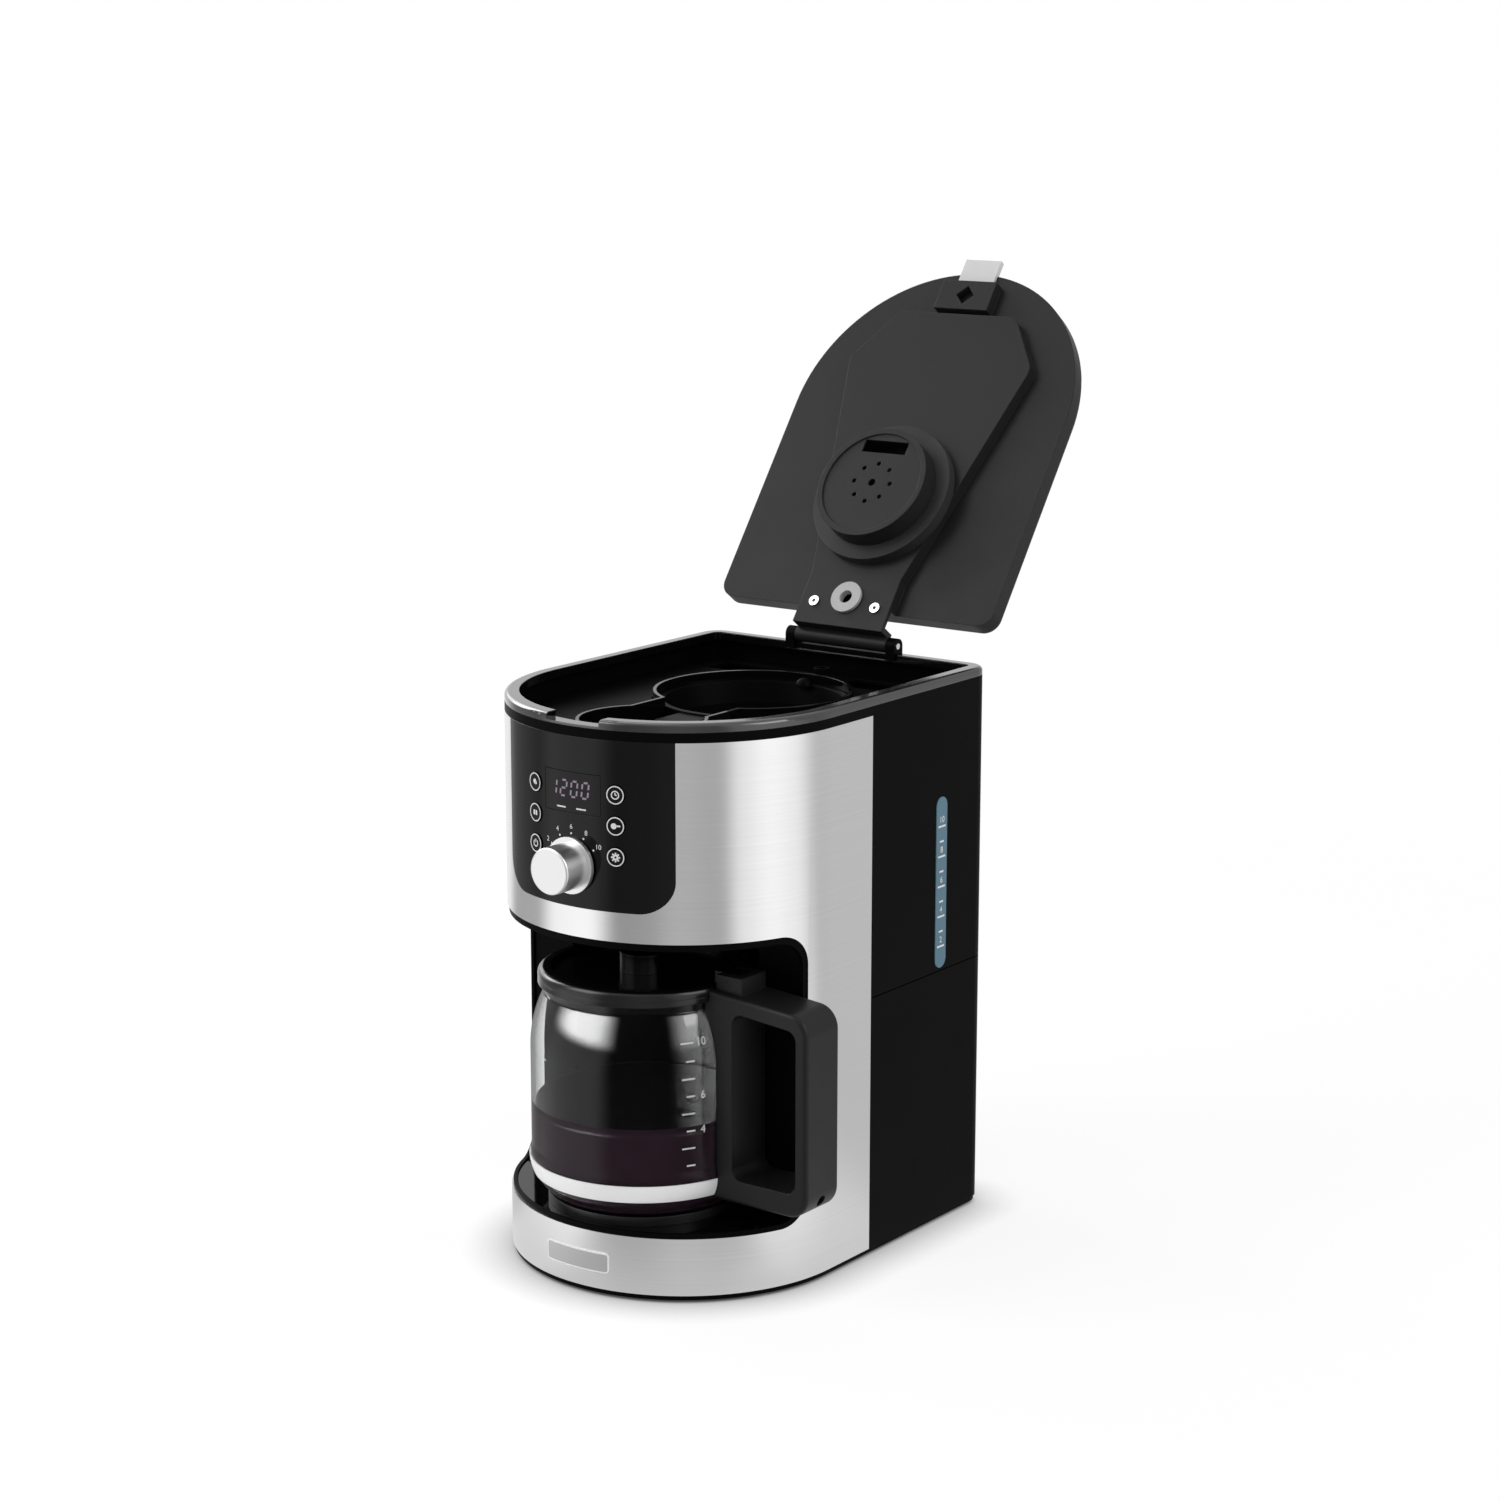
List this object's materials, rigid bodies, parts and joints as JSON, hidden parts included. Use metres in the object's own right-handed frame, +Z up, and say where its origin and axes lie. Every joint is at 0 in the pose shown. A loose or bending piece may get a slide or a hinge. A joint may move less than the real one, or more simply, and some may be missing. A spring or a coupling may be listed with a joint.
{
  "type": "drip coffee maker",
  "caption": "Drip coffee maker with a built-in grinder, rear-hinged lid, lift-out brew basket and filter, warming plate and glass carafe.",
  "frame": {"origin": "middle of the footprint, on the surface that the feet stand on", "axes": "+X to the machine's right, -Y to its front, +Z up"},
  "size_m": [0.245, 0.4698, 0.5981],
  "materials": {
    "brushed_steel": "brushed",
    "black_gloss": "gloss",
    "black_satin": "satin",
    "dark_plastic": "satin",
    "inner_plastic": "matte",
    "rubber": "matte",
    "silicone": "satin",
    "screw_steel": "polished",
    "aluminium": "satin",
    "motor_steel": "satin",
    "tank_plastic": "translucent",
    "gauge_clear": "clear",
    "display_dark": "gloss",
    "circuit_board": "satin",
    "filter_mesh": "woven",
    "carafe_glass": "clear",
    "pale_grey": "satin",
    "plate_coating": "satin"
  },
  "bodies": {
    "body": {"base_tray": "black_satin", "rubber_feet": "rubber", "base_screws": "screw_steel", "base_deck": "black_gloss", "warming_plate": "plate_coating", "heater_tube": "aluminium", "steel_wrap": "brushed_steel", "front_frame": "black_satin", "rear_upper_housing": "black_satin", "rear_lower_cover": "black_satin", "gauge_window": "gauge_clear", "cord_gland": "rubber", "top_rim": "black_gloss", "bay_liner": "black_satin", "bay_ceiling": "black_gloss", "control_panel": "black_gloss", "display_lens": "display_dark", "control_board": "circuit_board", "knob_encoder": "inner_plastic", "top_deck": "black_satin", "brew_well": "black_satin", "water_tank": "tank_plastic", "check_valve": "inner_plastic", "inlet_hose": "silicone", "riser_tube": "silicone", "outlet_spout": "black_satin", "grinder_motor": "motor_steel", "motor_mount": "inner_plastic", "hinge_bracket": "black_satin", "hinge_pin": "screw_steel"},
    "lid": {"lid_shell": "dark_plastic", "lid_inner_cover": "dark_plastic", "shower_head": "dark_plastic", "steam_seal": "rubber", "lid_grommet": "silicone", "lid_screws": "screw_steel", "lid_pull_tab": "pale_grey"},
    "basket": {"filter_basket": "black_gloss", "drip_valve_spring": "screw_steel"},
    "drip_valve": {"drip_valve_plunger": "black_satin", "drip_valve_seal": "rubber"},
    "filter": {"filter_frame": "black_satin", "filter_mesh": "filter_mesh"},
    "drive": {"drive_coupling": "inner_plastic"},
    "blade": {"blade_spindle": "screw_steel", "grinding_blade": "screw_steel"},
    "knob": {"knob": "aluminium"},
    "carafe": {"carafe_glass": "carafe_glass", "carafe_collar": "black_satin", "carafe_lid": "black_satin", "carafe_lid_pin": "screw_steel", "carafe_strap": "brushed_steel", "carafe_handle": "black_satin", "handle_screw": "screw_steel"},
    "button_upper_left": {"button_upper_left": "black_gloss"},
    "button_upper_right": {"button_upper_right": "black_gloss"},
    "button_middle_left": {"button_middle_left": "black_gloss"},
    "button_middle_right": {"button_middle_right": "black_gloss"},
    "button_lower_left": {"button_lower_left": "black_gloss"},
    "button_lower_right": {"button_lower_right": "black_gloss"}
  },
  "joints": [
    {"name": "lid_hinge", "type": "hinge", "parent": "body", "child": "lid", "pos_m": [0, 0.137, 0.362], "axis": [-1, 0, 0], "range_deg": [-126, 0]},
    {"name": "basket_lift", "type": "slide", "parent": "body", "child": "basket", "axis": [0, 0, 1], "range_m": [0, 0.187]},
    {"name": "filter_lift", "type": "slide", "parent": "basket", "child": "filter", "axis": [0, 0, 1], "range_m": [0, 0.12]},
    {"name": "drip_valve_push", "type": "slide", "parent": "basket", "child": "drip_valve", "axis": [0, 0, 1], "range_m": [0, 0.004], "stiffness_N_per_m": 200, "deforming": ["drip_valve_spring"]},
    {"name": "drive_spin", "type": "hinge", "parent": "body", "child": "drive", "pos_m": [0, 0.038, 0.2], "axis": [0, 0, 1], "continuous": true},
    {"name": "blade_spin", "type": "hinge", "parent": "filter", "child": "blade", "pos_m": [0, 0.038, 0.24], "axis": [0, 0, 1], "continuous": true},
    {"name": "knob_turn", "type": "hinge", "parent": "body", "child": "knob", "pos_m": [0, -0.143, 0.2675], "axis": [0, 1, 0], "range_deg": [-56, 56]},
    {"name": "carafe_slide", "type": "slide", "parent": "body", "child": "carafe", "axis": [0, -1, 0], "range_m": [0, 0.2]},
    {"name": "button_upper_left_press", "type": "slide", "parent": "body", "child": "button_upper_left", "axis": [0.2756, 0.9613, 0], "range_m": [0, 0.001], "stiffness_N_per_m": 300},
    {"name": "button_upper_right_press", "type": "slide", "parent": "body", "child": "button_upper_right", "axis": [-0.2756, 0.9613, 0], "range_m": [0, 0.001], "stiffness_N_per_m": 300},
    {"name": "button_middle_left_press", "type": "slide", "parent": "body", "child": "button_middle_left", "axis": [0.2756, 0.9613, 0], "range_m": [0, 0.001], "stiffness_N_per_m": 300},
    {"name": "button_middle_right_press", "type": "slide", "parent": "body", "child": "button_middle_right", "axis": [-0.2756, 0.9613, 0], "range_m": [0, 0.001], "stiffness_N_per_m": 300},
    {"name": "button_lower_left_press", "type": "slide", "parent": "body", "child": "button_lower_left", "axis": [0.2756, 0.9613, 0], "range_m": [0, 0.001], "stiffness_N_per_m": 300},
    {"name": "button_lower_right_press", "type": "slide", "parent": "body", "child": "button_lower_right", "axis": [-0.2756, 0.9613, 0], "range_m": [0, 0.001], "stiffness_N_per_m": 300}
  ],
  "couplings": [
    {"joint": "blade_spin", "follows": "drive_spin", "ratio": 1}
  ]
}
